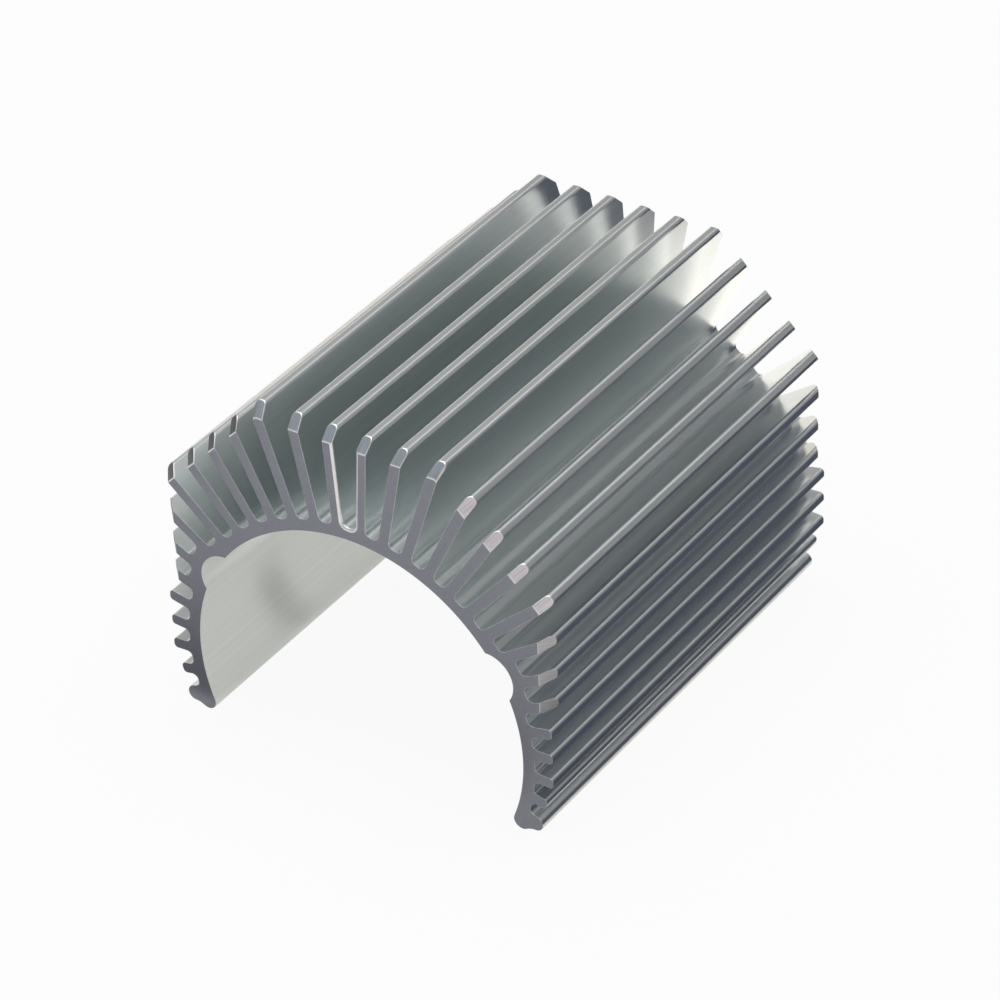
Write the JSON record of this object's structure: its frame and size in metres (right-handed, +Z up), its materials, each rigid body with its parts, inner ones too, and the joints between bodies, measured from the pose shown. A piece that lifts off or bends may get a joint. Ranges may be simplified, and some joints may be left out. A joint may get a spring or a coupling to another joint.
{
  "type": "motor heat sink",
  "caption": "Open-bottomed sleeve with radial fins that end on flats, made to clip over a round motor can and cool it.",
  "frame": {"origin": "on the axis of the bore, half way along it", "axes": "+Y along the bore, away from the end that the picture shows; +X to the right in that view; +Z up, through the gap between the two middle fins, away from the open side"},
  "size_m": [0.0424, 0.0486, 0.0367],
  "materials": {
    "aluminium": "plain extruded surface, sawn ends and milled bevels"
  },
  "bodies": {
    "root": {"heat_sink": "aluminium"}
  },
  "joints": []
}
